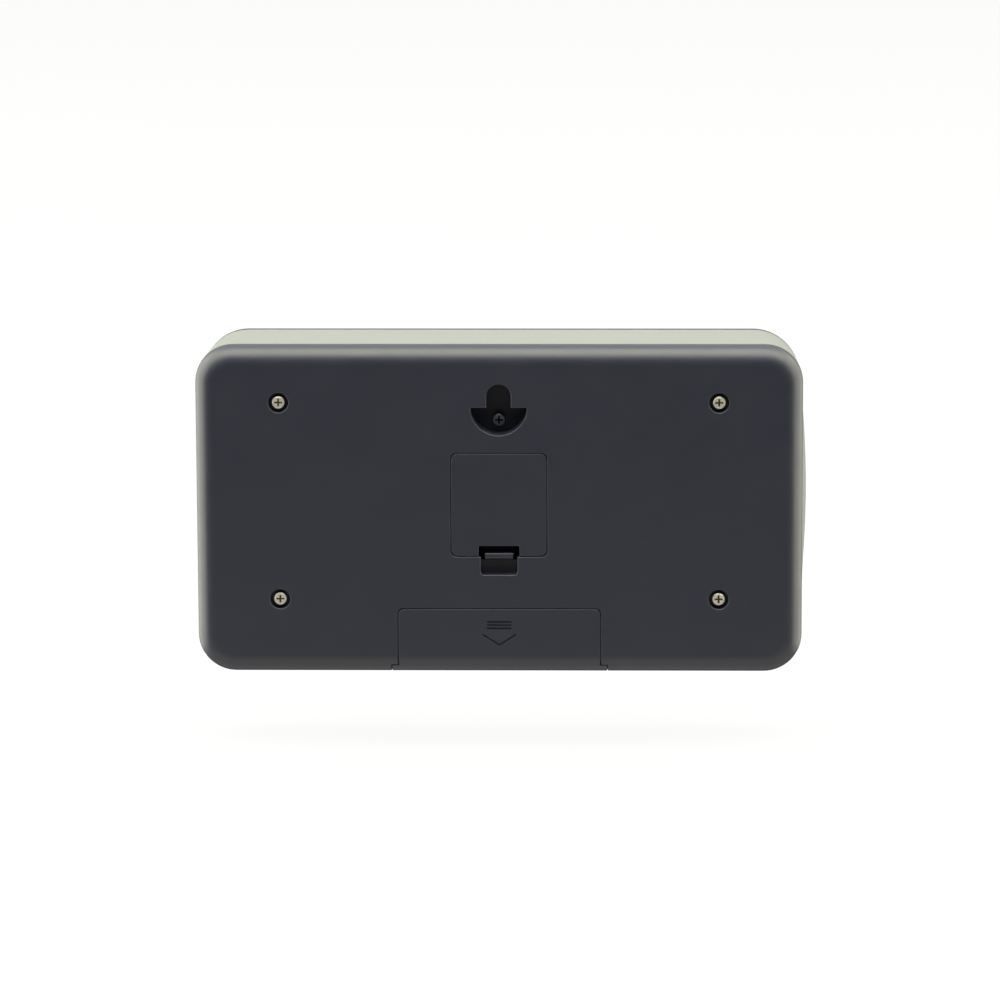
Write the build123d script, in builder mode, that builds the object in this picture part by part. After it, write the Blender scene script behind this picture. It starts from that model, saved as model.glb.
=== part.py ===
from build123d import *
import os

# Slim punch time clock for a wall or a counter. +Z is up, the fascia faces -Y and the back faces
# +Y. The origin is under the middle of the object, on the surface it stands on. Depths are
# measured forwards from the rear face.

os.makedirs("parts", exist_ok=True)

# ---------------------------------------------------------------- case
width = 196.0
height = 107.6
case_depth = 36.0
key_proud = 1.5
corner_r = 12.4
front_corner_r = 15.5
front_narrowing = 2.6
side_bow = 4.5
fascia_edge_r = 0.6
cover_depth = 6.8
rear_edge_r = 6.0
wall = 2.0
front_wall = 1.8
fascia_thick = 2.4
tongue_length = 1.2
tongue_inset = 1.15
tongue_play = 0.25
gap = 0.3
rim_r = 0.3
seam_rim_r = 0.2
foot_trim = 0.01
rear_y = (case_depth + key_proud) / 2
fascia_back = case_depth - fascia_thick
front_wall_back = fascia_back - front_wall

# ---------------------------------------------------------------- screws
screw_r = 1.1
screw_hole_r = 1.15
screw_clearance_r = 1.35
screw_head_r = 2.05
screw_head_height = 1.9
screw_head_edge_r = 0.5
screw_length = 9.5
case_screw_x = 70.96
case_screw_low_z = 24.86
case_screw_high_z = 89.52
case_screw_places = [
    (-case_screw_x, case_screw_low_z),
    (-case_screw_x, case_screw_high_z),
    (case_screw_x, case_screw_low_z),
    (case_screw_x, case_screw_high_z),
]
counterbore_r = 3.25
counterbore_depth = 2.3
cover_boss_r = 4.8
post_r = 3.5
post_gap = 0.1

# ---------------------------------------------------------------- hanger pocket
hanger_z = 87.9
hanger_r = 9.07
slot_half = 3.97
slot_top_z = 95.53
pocket_depth = 7.5
pocket_wall = 1.5
pocket_half = 12.0
pocket_low_z = 76.0
pocket_high_z = 100.0
undercut_half = 8.0
undercut_top_z = 98.5
pocket_screw_z = 82.9
pocket_post_r = 3.0

# ---------------------------------------------------------------- hatch and back-up cell
hatch_half = 15.35
hatch_low_z = 39.2
hatch_high_z = 72.85
hatch_corner_r = 2.0
hatch_thick = 1.6
seam = 0.3
notch_half = 6.65
notch_high_z = 42.5
latch_half = 4.54
latch_low_z = 38.14
latch_high_z = 40.01
latch_depth = 4.6
latch_thick = 1.2
nose_reach = 0.6
nose_near = 0.5
nose_far = 2.0
finger_half = 5.95
finger_low_z = 32.87
finger_depth = 3.3
tray_wall = 1.2
ledge_inner_x = 13.9
ledge_low_z = 44.0
ledge_high_z = 70.0
ledge_thick = 1.4
hook_x = 9.0
hook_half = 3.0
hook_reach = 2.0
hook_near = 2.3
hook_far = 3.5
rib_x = 11.5
rib_half = 0.5
rib_far = 2.6
well_half = 16.0
well_low_z = 37.4
well_high_z = 75.5
well_depth = 9.5
coin_r = 10.0
coin_thick = 3.2
coin_z = 57.5
coin_lift = 0.4
coin_step = 0.7
coin_step_r = 1.1
nest_height = 3.2
nest_play = 0.35
nest_wall = 1.35
nest_gap = 9.0
strip_thick = 0.3
strip_half = 3.2

# ---------------------------------------------------------------- battery door and bay
door_half = 32.7
door_high_z = 21.6
door_thick = 1.8
door_corner_r = 2.0
ear_half = 34.85
ear_high_z = 2.7
ear_corner_r = 0.6
door_clearance = 0.25
rail_inner_x = 31.5
rail_outer_x = 34.2
rail_low_z = 5.0
rail_high_z = 23.2
rail_near = 2.35
rail_far = 3.5
bay_half = 29.0
bay_low_z = 3.8
bay_high_z = 19.0
bay_depth = 17.3
bay_wall = 1.5
sill_half = 36.5
sill_low_z = 2.2
sill_high_z = 24.5
sill_far = 5.3
arrow_bar_z = (17.4, 16.33, 15.26)
arrow_half = 5.4
arrow_top_z = 13.55
arrow_drop = 3.5
arrow_stroke = 0.6
arrow_engraving = 0.4
aa_r = 7.1
aa_length = 50.5
aa_nub_length = 1.3
aa_z = 11.4
aa_depth = 9.75
aa_nub_r = 2.7
cell_rim_r = 6.0
dimple_reach = 1.45
plate_thick = 0.4
plate_x = bay_half - 0.1
plate_half = 5.5
plate_depths = (4.5, 15.5)
tab_half = 1.5
tab_depth = (13.3, 13.7)
tab_out = 4.0
tab_play = 0.3

# ---------------------------------------------------------------- front: display, keys, board
window_mid_x = -28.0
window_mid_z = 56.0
window_width = 114.0
window_height = 50.0
window_thick = 1.2
view_width = 109.0
view_height = 44.0
lcd_width = 110.0
lcd_height = 45.0
lcd_near = 28.8
lcd_far = 31.5
holder_wall = 1.2
board_near = 23.0
board_thick = 1.6
board_width = 178.0
board_low_z = 7.5
board_high_z = 99.5
board_far = board_near + board_thick
board_screw_places = [(-84, 14), (-84, 93.5), (30, 12), (32, 94), (84, 14), (84, 93.5)]
board_post_r = 3.0
board_screw_r = 0.9
board_screw_hole_r = 0.95
board_screw_length = 6.0
board_screw_head_r = 1.9
board_screw_head_height = 1.3
mat_thick = 1.0
dome_r = 4.2
dome_top = 28.9
key_flange_near = 30.5
key_flange_far = 31.5
key_flange = 1.0
key_edge_r = 0.6
dish_depth = 0.35
dish_margin = 1.4
digit_key_width = 12.0
digit_key_height = 10.0
digit_columns = (46.0, 62.0, 78.0)
digit_rows = (77.5, 64.0, 50.5, 37.0)
function_key_width = 18.0
function_key_height = 8.0
function_key_z = 18.0
function_key_x = (-58.0, -36.0, -14.0, 8.0)
led_places = [(56, 96.5), (68, 96.5)]
led_r = 1.5
grille_place = (50.0, 16.0)
grille_hole_r = 0.65
grille_ring_r = 3.0
buzzer_r = 6.0
buzzer_height = 5.4


def at_depth(depth):
    """Upright plane at a depth: local x is X, local y is Z, and extrusions run forwards."""
    return Plane.XZ.offset(depth - rear_y)


def case_outline(depth, inset, share=0.0):
    """Rounded outline of the case, drawn in by inset all round. Share runs from 0 at the parting
    line, where the sides are straight, to 1 at the front, where they bow outwards."""
    half_width = width / 2 - share * front_narrowing - inset
    low_z = inset
    high_z = height - inset
    radius = corner_r + share * (front_corner_r - corner_r) - inset
    with BuildSketch(at_depth(depth)) as outline:
        with BuildLine():
            Line((-half_width, low_z), (half_width, low_z))
            Line((-half_width, high_z), (half_width, high_z))
            for side in (-1, 1):
                low_end = (side * half_width, low_z)
                high_end = (side * half_width, high_z)
                if share > 0:
                    middle = (side * (half_width + share * side_bow), (low_z + high_z) / 2)
                    ThreePointArc(low_end, middle, high_end)
                else:
                    Line(low_end, high_end)
        make_face()
        fillet(outline.vertices(), radius)
    return outline.sketch


def rear_block(inset, far=cover_depth):
    """Rear half of the case as a solid block, drawn in by inset on the back and the sides."""
    with BuildPart() as block:
        extrude(case_outline(inset, inset), amount=far - inset)
        back_face = block.faces().sort_by(Axis.Y)[-1]
        fillet(back_face.edges(), rear_edge_r - inset)
    return block.part


def front_block(inset, near, far):
    """Front half of the case, with its bowed sides, as a solid block between two depths."""
    with BuildPart() as block:
        sections = []
        for depth in (near, far):
            share = max(0.0, (depth - cover_depth) / (case_depth - cover_depth))
            sections.append(case_outline(depth, inset, share).face())
        loft(sections, ruled=True)
    return block.part


def slab(x_span, z_span, depth_span, radius=0.0, mode=Mode.ADD):
    """Slab between two X, two Z and two depths, for the part being built."""
    size = (x_span[1] - x_span[0], z_span[1] - z_span[0])
    with BuildSketch(at_depth(depth_span[0])) as outline:
        with Locations(((x_span[0] + x_span[1]) / 2, (z_span[0] + z_span[1]) / 2)):
            if radius > 0:
                RectangleRounded(*size, radius)
            else:
                Rectangle(*size)
    extrude(outline.sketch, amount=depth_span[1] - depth_span[0], mode=mode)


def discs(places, radius, depth_span, mode=Mode.ADD):
    """Round bosses or holes along Y, for the part being built."""
    with BuildSketch(at_depth(depth_span[0])) as outline:
        with Locations(*places):
            Circle(radius)
    extrude(outline.sketch, amount=depth_span[1] - depth_span[0], mode=mode)


def door_region(half, high_z, ears_half, ears_high_z, far):
    """Everything inside the battery door's outline, from the rear face to a depth."""
    with BuildPart() as region:
        with BuildSketch(at_depth(-1.0)) as outline:
            with Locations((0, (high_z - 1) / 2)):
                Rectangle(2 * half, high_z + 1)
            fillet(outline.vertices().group_by(Axis.Z)[-1], door_corner_r)
            with Locations((0, (ears_high_z - 1) / 2)):
                Rectangle(2 * ears_half, ears_high_z + 1)
            ear_corners = outline.vertices().filter_by(lambda corner: abs(corner.Z - ears_high_z) < 0.01)
            fillet(ear_corners, ear_corner_r)
        extrude(amount=far + 1.0)
    return region.part


def rims_of(piece, above_z=0.0):
    """Edges of a piece's outermost rear face, apart from the smooth run into its bottom rounding."""
    back_face = piece.faces().filter_by(Axis.Y).sort_by(Axis.Y)[-1]
    return back_face.outer_wire().edges().filter_by(lambda edge: edge.center().Z > above_z)


def hanger_outline(depth):
    """Keyhole outline: a half disc that takes the screw head, and a slot above it."""
    with BuildSketch(at_depth(depth)) as outline:
        with Locations((0, hanger_z)):
            Circle(hanger_r)
            Rectangle(3 * hanger_r, 2 * hanger_r, align=(Align.CENTER, Align.MIN), mode=Mode.SUBTRACT)
        slot_mid_z = (hanger_z - 1 + slot_top_z - slot_half) / 2
        with Locations((0, slot_mid_z)):
            Rectangle(2 * slot_half, slot_top_z - slot_half - hanger_z + 1)
        with Locations((0, slot_top_z - slot_half)):
            Circle(slot_half)
    return outline.sketch


def pan_screw(places, tip_depth, seat_depth, radius, head_r, head_height):
    """Cross-recessed pan-head screws along Y, heads towards the back."""
    with BuildPart() as screws:
        discs(places, radius, (seat_depth, tip_depth))
        with BuildSketch(at_depth(seat_depth - head_height)) as head:
            with Locations(*places):
                Circle(head_r)
        extrude(head.sketch, amount=head_height)
        rims = screws.edges().filter_by(GeomType.CIRCLE).group_by(Axis.Y)[-1]
        fillet(rims, screw_head_edge_r)
        with BuildSketch(at_depth(seat_depth - head_height - 0.1)) as cross:
            with Locations(*places):
                Rectangle(head_r * 1.25, head_r * 0.3)
                Rectangle(head_r * 0.3, head_r * 1.25)
        extrude(cross.sketch, amount=head_height * 0.6, mode=Mode.SUBTRACT)
    return screws.part


# ---------------------------------------------------------------- rear cover
cover_outside = rear_block(0)
cover_inside = rear_block(wall)
door_space_far = cover_depth + tongue_length + 1
door_space = door_region(
    door_half + seam, door_high_z + seam, ear_half + seam, ear_high_z + seam, door_space_far
)
door_inner_side = rear_block(door_thick + door_clearance, door_space_far + 1)

with BuildPart() as door_skin_space:
    add(door_space)
    add(door_inner_side, mode=Mode.SUBTRACT)

with BuildPart() as rear_cover:
    add(cover_outside)
    add(cover_inside, mode=Mode.SUBTRACT)
    # Tongue round the rim, which locates the cover in the front housing.
    with BuildSketch(at_depth(cover_depth - 1.0)):
        with Locations((0, height / 2)):
            RectangleRounded(width - 2 * tongue_inset, height - 2 * tongue_inset, corner_r - tongue_inset)
            RectangleRounded(width - 2 * wall, height - 2 * wall, corner_r - wall, mode=Mode.SUBTRACT)
    extrude(amount=1.0 + tongue_length)
    # Bosses of the case screws.
    discs(case_screw_places, cover_boss_r, (wall - 0.5, cover_depth))
    # Tubs of the hanger pocket and of the back-up cell.
    slab((-pocket_half, pocket_half), (pocket_low_z, pocket_high_z), (1.0, pocket_depth + pocket_wall), 2.0)
    tub_half = well_half + pocket_wall
    tub_span = (well_low_z - pocket_wall, well_high_z + pocket_wall)
    slab((-tub_half, tub_half), tub_span, (1.0, well_depth + pocket_wall), 2.0)
    # Shallow tray of the finger recess.
    tray_half = finger_half + tray_wall
    slab((-tray_half, tray_half), (finger_low_z - tray_wall, well_low_z), (1.0, finger_depth + tray_wall))
    # Sill round the battery bay, and the bay's own trough.
    slab((-sill_half, sill_half), (sill_low_z, sill_high_z), (wall - 0.1, sill_far))
    bay_outer = bay_half + bay_wall
    trough_z = (bay_low_z - bay_wall, bay_high_z + bay_wall)
    slab((-bay_outer, bay_outer), trough_z, (sill_far, bay_depth + bay_wall), 1.5)
    # Hollows of the tubs, the recess and the trough.
    undercut_z = (hanger_z, undercut_top_z)
    slab((-undercut_half, undercut_half), undercut_z, (wall, pocket_depth), mode=Mode.SUBTRACT)
    extrude(hanger_outline(-1.0), amount=pocket_depth + 1.0, mode=Mode.SUBTRACT)
    slab((-well_half, well_half), (well_low_z, well_high_z), (wall, well_depth), 1.0, mode=Mode.SUBTRACT)
    opening_half = hatch_half + seam
    slab(
        (-opening_half, opening_half),
        (hatch_low_z - seam, hatch_high_z + seam),
        (-1.0, wall + 1.0),
        hatch_corner_r,
        mode=Mode.SUBTRACT,
    )
    finger_z = (finger_low_z, notch_high_z - 0.5)
    slab((-finger_half, finger_half), finger_z, (-1.0, finger_depth), 1.1, mode=Mode.SUBTRACT)
    slab((-bay_half, bay_half), (bay_low_z, bay_high_z), (-1.0, bay_depth), 0.8, mode=Mode.SUBTRACT)
    # The door's skin and its rails need room, at rest and all the way down.
    add(door_skin_space.part, mode=Mode.SUBTRACT)
    for side in (-1, 1):
        groove = sorted((side * (rail_inner_x - gap), side * (rail_outer_x + gap)))
        slab(groove, (-1.0, rail_high_z + 0.4), (wall + 0.05, rail_far + gap), mode=Mode.SUBTRACT)
    # Side ledges that carry the hatch.
    ledge_near = hatch_thick + 0.2
    for side in (-1, 1):
        ledge = sorted((side * ledge_inner_x, side * (well_half + 0.2)))
        slab(ledge, (ledge_low_z, ledge_high_z), (ledge_near, ledge_near + ledge_thick))
    # Nest of the back-up cell: a ring in four parts.
    with BuildSketch(at_depth(well_depth - nest_height)):
        with Locations((0, coin_z)):
            Circle(coin_r + nest_play + nest_wall)
            Circle(coin_r + nest_play, mode=Mode.SUBTRACT)
            Rectangle(nest_gap, 3 * coin_r, mode=Mode.SUBTRACT)
            Rectangle(3 * coin_r, nest_gap, mode=Mode.SUBTRACT)
    extrude(amount=nest_height + 0.1)
    # Holes of the case screws and of the screw in the pocket.
    discs(case_screw_places, counterbore_r, (-1.0, counterbore_depth), mode=Mode.SUBTRACT)
    discs(case_screw_places, screw_clearance_r, (0, cover_depth + 1), mode=Mode.SUBTRACT)
    pocket_hole = (pocket_depth - 1, pocket_depth + pocket_wall + 1)
    discs([(0, pocket_screw_z)], screw_clearance_r, pocket_hole, mode=Mode.SUBTRACT)
    # Slots in the bay's ends for the tabs of the contacts.
    for side in (-1, 1):
        tab_slot = sorted((side * (bay_half - 0.5), side * (bay_outer + 0.5)))
        tab_z = (aa_z - tab_half - tab_play, aa_z + tab_half + tab_play)
        slab(tab_slot, tab_z, (tab_depth[0] - tab_play, tab_depth[1] + tab_play), mode=Mode.SUBTRACT)
    # Rounded rims of the openings in the rear face.
    back_face = rear_cover.faces().filter_by(Axis.Y).sort_by(Axis.Y)[-1]
    fillet([edge for wire in back_face.inner_wires() for edge in wire.edges()], rim_r)
    outer_rims = rims_of(rear_cover, rear_edge_r + 0.1)
    low_rims = outer_rims.filter_by(lambda edge: edge.center().Z < door_high_z + 1)
    fillet(low_rims.filter_by(lambda edge: abs(edge.center().X) < door_half + 1), seam_rim_r)
rear_cover.part.label = "rear_cover"
export_step(rear_cover.part, "parts/rear_cover.step")

# ---------------------------------------------------------------- front housing
key_sizes = {}
for row, names in enumerate((("1", "2", "3"), ("4", "5", "6"), ("7", "8", "9"), ("star", "0", "hash"))):
    for column, name in enumerate(names):
        place = (digit_columns[column], digit_rows[row])
        key_sizes[name] = (place, digit_key_width, digit_key_height)
for name, key_x in zip(("in", "out", "back", "menu"), function_key_x):
    key_sizes[name] = ((key_x, function_key_z), function_key_width, function_key_height)


def key_holes(depth_span):
    """Holes for all the keys, cut from the part being built."""
    with BuildSketch(at_depth(depth_span[0])) as outline:
        for place, key_width, key_height in key_sizes.values():
            with Locations(place):
                RectangleRounded(key_width + 2 * gap, key_height + 2 * gap, 1.3)
    extrude(outline.sketch, amount=depth_span[1] - depth_span[0], mode=Mode.SUBTRACT)


def front_holes(depth_span):
    """Holes for the status lights and the beeper, cut from the part being built."""
    discs(led_places, led_r + 0.1, depth_span, mode=Mode.SUBTRACT)
    with BuildSketch(at_depth(depth_span[0])) as outline:
        with Locations(grille_place):
            Circle(grille_hole_r)
            with PolarLocations(grille_ring_r, 6):
                Circle(grille_hole_r)
    extrude(outline.sketch, amount=depth_span[1] - depth_span[0], mode=Mode.SUBTRACT)


housing_outside = front_block(0, cover_depth, fascia_back)
housing_inside = front_block(wall, cover_depth - 0.001, front_wall_back)
rebate_far = cover_depth + tongue_length + 0.2
housing_rebate = front_block(tongue_inset - tongue_play, cover_depth - 0.001, rebate_far)
pocket_post_span = (pocket_depth + pocket_wall + post_gap, front_wall_back + 0.5)

with BuildPart() as front_housing:
    # The underside is trimmed by a hair to a true plane, on which the clock stands.
    add(Location((0, 0, -foot_trim)) * housing_outside)
    split(bisect_by=Plane.XY, keep=Keep.TOP)
    add(housing_inside, mode=Mode.SUBTRACT)
    add(housing_rebate, mode=Mode.SUBTRACT)
    discs(case_screw_places, post_r, (cover_depth + post_gap, front_wall_back + 0.5))
    discs([(0, pocket_screw_z)], pocket_post_r, pocket_post_span)
    discs(board_screw_places, board_post_r, (board_far, front_wall_back + 0.5))
    screw_reach = counterbore_depth + screw_length
    discs(case_screw_places, screw_hole_r, (cover_depth, screw_reach + 1), mode=Mode.SUBTRACT)
    pocket_reach = pocket_depth + screw_length
    discs([(0, pocket_screw_z)], screw_hole_r, (pocket_depth, pocket_reach + 1), mode=Mode.SUBTRACT)
    board_screw_span = (board_far - 1, board_near + board_screw_length + 0.5)
    discs(board_screw_places, board_screw_hole_r, board_screw_span, mode=Mode.SUBTRACT)
    view_x = (window_mid_x - view_width / 2, window_mid_x + view_width / 2)
    view_z = (window_mid_z - view_height / 2, window_mid_z + view_height / 2)
    slab(view_x, view_z, (front_wall_back - 1, fascia_back + 1), 2.0, mode=Mode.SUBTRACT)
    key_holes((front_wall_back - 1, fascia_back + 1))
    front_holes((front_wall_back - 1, fascia_back + 1))
front_housing.part.label = "front_housing"
export_step(front_housing.part, "parts/front_housing.step")

# ---------------------------------------------------------------- fascia and display window
window_x = (window_mid_x - window_width / 2, window_mid_x + window_width / 2)
window_z = (window_mid_z - window_height / 2, window_mid_z + window_height / 2)
window_back = case_depth - 0.1 - window_thick

with BuildPart() as fascia:
    add(front_block(0, fascia_back, case_depth))
    front_face = fascia.faces().sort_by(Axis.Y)[0]
    fillet(front_face.edges(), fascia_edge_r)
    slab(view_x, view_z, (fascia_back - 1, case_depth), 2.0, mode=Mode.SUBTRACT)
    slab(
        (window_x[0] - 0.1, window_x[1] + 0.1),
        (window_z[0] - 0.1, window_z[1] + 0.1),
        (window_back, case_depth + 1),
        3.1,
        mode=Mode.SUBTRACT,
    )
    key_holes((fascia_back - 1, case_depth + 1))
    front_holes((fascia_back - 1, case_depth + 1))
fascia.part.label = "fascia"
export_step(fascia.part, "parts/fascia.step")

with BuildPart() as display_window:
    slab(window_x, window_z, (window_back, window_back + window_thick), 3.0)
    chamfer(display_window.faces().sort_by(Axis.Y)[0].edges(), 0.2)
display_window.part.label = "display_window"
export_step(display_window.part, "parts/display_window.step")

# ---------------------------------------------------------------- battery door
with BuildPart() as battery_door:
    add(door_region(door_half, door_high_z, ear_half, ear_high_z, cover_depth - gap))
    add(cover_outside, mode=Mode.INTERSECT)
    add(rear_block(door_thick), mode=Mode.SUBTRACT)
    # Side rails, tied to the skin by a web, with their top ends under the cover's edge.
    for side in (-1, 1):
        web = sorted((side * rail_inner_x, side * (door_half - 0.1)))
        rail = sorted((side * rail_inner_x, side * rail_outer_x))
        slab(web, (rail_low_z, 20.0), (door_thick - 0.3, rail_far))
        slab(rail, (rail_low_z, rail_high_z), (rail_near, rail_far))
    # Engraved arrow: three bars and a chevron that point the way the door slides.
    with BuildSketch(at_depth(-1.0)):
        for bar_z in arrow_bar_z:
            with Locations((0, bar_z)):
                Rectangle(7.9, arrow_stroke)
        with BuildLine():
            Polyline(
                (-arrow_half, arrow_top_z),
                (0, arrow_top_z - arrow_drop),
                (arrow_half, arrow_top_z),
                (arrow_half, arrow_top_z - arrow_stroke),
                (0, arrow_top_z - arrow_drop - arrow_stroke),
                (-arrow_half, arrow_top_z - arrow_stroke),
                close=True,
            )
        make_face()
    extrude(amount=1.0 + arrow_engraving, mode=Mode.SUBTRACT)
    fillet(rims_of(battery_door, rear_edge_r + 0.1), seam_rim_r)
battery_door.part.label = "battery_door"
export_step(battery_door.part, "parts/battery_door.step")

# ---------------------------------------------------------------- hatch and latch
with BuildPart() as hatch:
    slab((-hatch_half, hatch_half), (hatch_low_z, hatch_high_z), (0, hatch_thick), hatch_corner_r)
    notch_z = (hatch_low_z - 1, notch_high_z)
    slab((-notch_half, notch_half), notch_z, (-1, hatch_thick + 1), 0.6, mode=Mode.SUBTRACT)
    # Two hooks that reach under the cover above the opening, and two stiffening ribs.
    inside = hatch_thick - 0.3
    for side in (-1, 1):
        hook = (side * hook_x - hook_half, side * hook_x + hook_half)
        slab(hook, (ledge_high_z, hatch_high_z - 0.2), (inside, hook_far))
        slab(hook, (ledge_high_z, hatch_high_z + hook_reach), (hook_near, hook_far))
        rib = (side * rib_x - rib_half, side * rib_x + rib_half)
        slab(rib, (ledge_low_z + 1, ledge_high_z - 1), (inside, rib_far))
    # Inner leg of the latch spring.
    leg_z = (notch_high_z, notch_high_z + latch_thick)
    slab((-latch_half, latch_half), leg_z, (inside, latch_depth + 0.6))
    fillet(rims_of(hatch), seam_rim_r)
hatch.part.label = "hatch"
export_step(hatch.part, "parts/hatch.step")

with BuildPart() as hatch_latch:
    # Outer leg with the nose, and the foot that turns under the inner leg.
    latch_x = (-latch_half, latch_half)
    outer_low_z = latch_low_z + nose_reach
    foot_near = latch_depth + 0.8
    foot_far = foot_near + latch_thick
    slab(latch_x, (outer_low_z, latch_high_z), (nose_near, foot_far))
    slab(latch_x, (latch_low_z, latch_high_z), (nose_near, nose_far))
    slab(latch_x, (outer_low_z, notch_high_z + latch_thick), (foot_near, foot_far))
    nose_edges = hatch_latch.edges().filter_by(Axis.X).group_by(Axis.Y)[-1]
    fillet(nose_edges, 0.5)
hatch_latch.part.label = "hatch_latch"
export_step(hatch_latch.part, "parts/hatch_latch.step")

# ---------------------------------------------------------------- screws
case_screws = pan_screw(
    case_screw_places, screw_reach, counterbore_depth, screw_r, screw_head_r, screw_head_height
)
case_screws.label = "case_screws"
export_step(case_screws, "parts/case_screws.step")

pocket_screw = pan_screw(
    [(0, pocket_screw_z)], pocket_reach, pocket_depth, screw_r, screw_head_r, screw_head_height
)
pocket_screw.label = "pocket_screw"
export_step(pocket_screw, "parts/pocket_screw.step")

board_screws = pan_screw(
    board_screw_places,
    board_near + board_screw_length,
    board_near,
    board_screw_r,
    board_screw_head_r,
    board_screw_head_height,
)
board_screws.label = "board_screws"
export_step(board_screws, "parts/board_screws.step")

# ---------------------------------------------------------------- batteries and contacts
def along_bay(x):
    """Plane across the battery bay; extrusions run towards the spring."""
    return Plane(origin=(x, rear_y - aa_depth, aa_z), x_dir=(0, 1, 0), z_dir=(-1, 0, 0))


plate_z = (aa_z - plate_half, aa_z + plate_half)
tab_z = (aa_z - tab_half, aa_z + tab_half)
cell_end_x = plate_x - dimple_reach

with BuildPart() as aa_cell:
    with BuildSketch(along_bay(cell_end_x)):
        Circle(aa_nub_r)
    extrude(amount=aa_nub_length + 0.2)
    with BuildSketch(along_bay(cell_end_x - aa_nub_length)):
        Circle(aa_r)
    extrude(amount=aa_length - aa_nub_length)
    rounds = aa_cell.edges().filter_by(GeomType.CIRCLE)
    fillet(rounds.filter_by(lambda edge: edge.radius > cell_rim_r), 0.5)
aa_cell.part.label = "aa_cell"
export_step(aa_cell.part, "parts/aa_cell.step")

with BuildPart() as aa_contact:
    slab((plate_x - plate_thick, plate_x), plate_z, plate_depths)
    with BuildSketch(along_bay(plate_x - plate_thick + 0.1)):
        Circle(2.2)
    extrude(amount=1.0, taper=20)
    slab((plate_x - 0.2, plate_x + tab_out), tab_z, tab_depth)
aa_contact.part.label = "aa_contact"
export_step(aa_contact.part, "parts/aa_contact.step")

spring_length = cell_end_x - aa_length + plate_x - plate_thick
with BuildPart() as aa_spring:
    slab((-plate_x, -plate_x + plate_thick), plate_z, plate_depths)
    slab((-plate_x - tab_out, -plate_x + 0.2), tab_z, tab_depth)
    with BuildLine() as coil:
        Helix(
            pitch=1.35,
            height=spring_length - 0.35,
            radius=4.6,
            center=(-plate_x + plate_thick, rear_y - aa_depth, aa_z),
            direction=(1, 0, 0),
            cone_angle=-18,
        )
    with BuildSketch(Plane(origin=coil.line @ 0, z_dir=coil.line % 0)):
        Circle(0.3)
    sweep(is_frenet=True)
aa_spring.part.label = "aa_spring"
export_step(aa_spring.part, "parts/aa_spring.step")

coin_far = well_depth - coin_lift
coin_near = coin_far - coin_thick
with BuildPart() as coin_cell:
    discs([(0, coin_z)], coin_r, (coin_near + coin_step, coin_far))
    discs([(0, coin_z)], coin_r - coin_step_r, (coin_near, coin_far))
    fillet(coin_cell.edges().filter_by(GeomType.CIRCLE).group_by(Axis.Y)[-1], rim_r)
coin_cell.part.label = "coin_cell"
export_step(coin_cell.part, "parts/coin_cell.step")

with BuildPart() as coin_contacts:
    # Flat strip under the cell, and a bent strip that holds its rim from above.
    strip_x = (-strip_half, strip_half)
    slab(strip_x, (coin_z - 8.0, coin_z + 4.0), (coin_far, coin_far + strip_thick))
    rim_z = coin_z + coin_r
    lip_near = coin_near - 0.1
    slab(strip_x, (rim_z + 0.2, rim_z + 0.2 + strip_thick), (lip_near, well_depth))
    slab(strip_x, (rim_z - 0.8, rim_z + 0.2 + strip_thick), (lip_near, lip_near + strip_thick))
coin_contacts.part.label = "coin_contacts"
export_step(coin_contacts.part, "parts/coin_contacts.step")

# ---------------------------------------------------------------- display
lcd_x = (window_mid_x - lcd_width / 2, window_mid_x + lcd_width / 2)
lcd_z = (window_mid_z - lcd_height / 2, window_mid_z + lcd_height / 2)

with BuildPart() as lcd_panel:
    slab(lcd_x, lcd_z, (lcd_near, lcd_near + 1.3))
    slab(lcd_x, (lcd_z[0] + 3, lcd_z[1] - 3), (lcd_near + 1.3, lcd_far))
lcd_panel.part.label = "lcd_panel"
export_step(lcd_panel.part, "parts/lcd_panel.step")

with BuildPart() as lcd_holder:
    slab(
        (lcd_x[0] - holder_wall, lcd_x[1] + holder_wall),
        (lcd_z[0] - holder_wall, lcd_z[1] + holder_wall),
        (board_far, lcd_far),
        1.0,
    )
    slab(
        (lcd_x[0] - 0.1, lcd_x[1] + 0.1),
        (lcd_z[0] - 0.1, lcd_z[1] + 0.1),
        (board_far - 1, lcd_far + 1),
        mode=Mode.SUBTRACT,
    )
lcd_holder.part.label = "lcd_holder"
export_step(lcd_holder.part, "parts/lcd_holder.step")

with BuildPart() as zebra_strips:
    for low_z in (lcd_z[0] + 0.3, lcd_z[1] - 2.9):
        slab((lcd_x[0] + 3, lcd_x[1] - 3), (low_z, low_z + 2.6), (board_far, lcd_near))
zebra_strips.part.label = "zebra_strips"
export_step(zebra_strips.part, "parts/zebra_strips.step")

# ---------------------------------------------------------------- board and what is on it
with BuildPart() as main_board:
    slab((-board_width / 2, board_width / 2), (board_low_z, board_high_z), (board_near, board_far), 8.0)
    through_board = (board_near - 1, board_far + 1)
    discs(case_screw_places, post_r + 0.6, through_board, mode=Mode.SUBTRACT)
    discs([(0, pocket_screw_z)], pocket_post_r + 0.6, through_board, mode=Mode.SUBTRACT)
    discs(board_screw_places, board_screw_r + 0.2, through_board, mode=Mode.SUBTRACT)
main_board.part.label = "main_board"
export_step(main_board.part, "parts/main_board.step")

with BuildPart() as processor:
    slab((40, 54), (57, 71), (board_near - 2.2, board_near - 0.5), 0.4)
    for lead in range(10):
        lead_x = 41.8 + lead * 1.15
        slab((lead_x, lead_x + 0.5), (55.8, 72.2), (board_near - 0.6, board_near))
        lead_z = 58.8 + lead * 1.15
        slab((38.8, 55.2), (lead_z, lead_z + 0.5), (board_near - 0.6, board_near))
processor.part.label = "processor"
export_step(processor.part, "parts/processor.step")

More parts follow.
